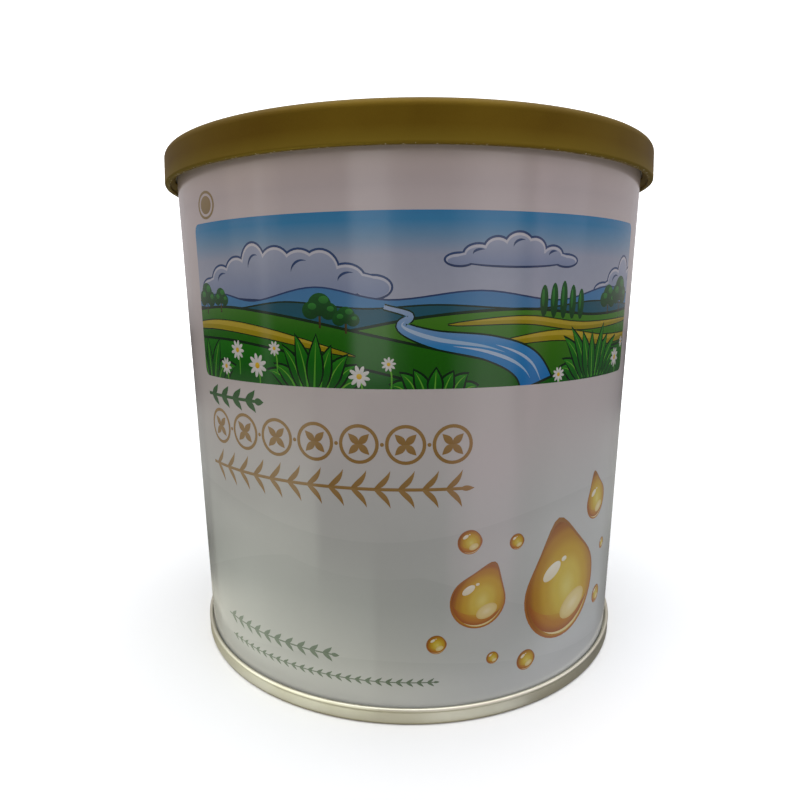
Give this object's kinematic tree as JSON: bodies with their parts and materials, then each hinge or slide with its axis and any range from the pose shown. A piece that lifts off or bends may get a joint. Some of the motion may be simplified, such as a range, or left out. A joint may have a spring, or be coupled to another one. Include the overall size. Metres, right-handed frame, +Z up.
{
  "type": "milk powder tin",
  "caption": "Small round tinplate tin for milk powder, with a printed wall, a double-seamed bottom end and a push-on plastic overcap, shut and standing upright.",
  "frame": {"origin": "centre of the tin's base, on the surface that it stands on", "axes": "+Z up along the tin's axis; the middle of the printed front faces -Y; +X to the right of the front"},
  "size_m": [0.0764, 0.0764, 0.0781],
  "materials": {
    "printed_wall": "white litho print under gloss varnish",
    "tinplate": "bare bright tinplate",
    "gold_plastic": "satin injection-moulded polyethylene with gold pigment"
  },
  "bodies": {
    "root": {"tin_body": "printed_wall", "bottom_end": "tinplate", "overcap": "gold_plastic"}
  },
  "joints": []
}
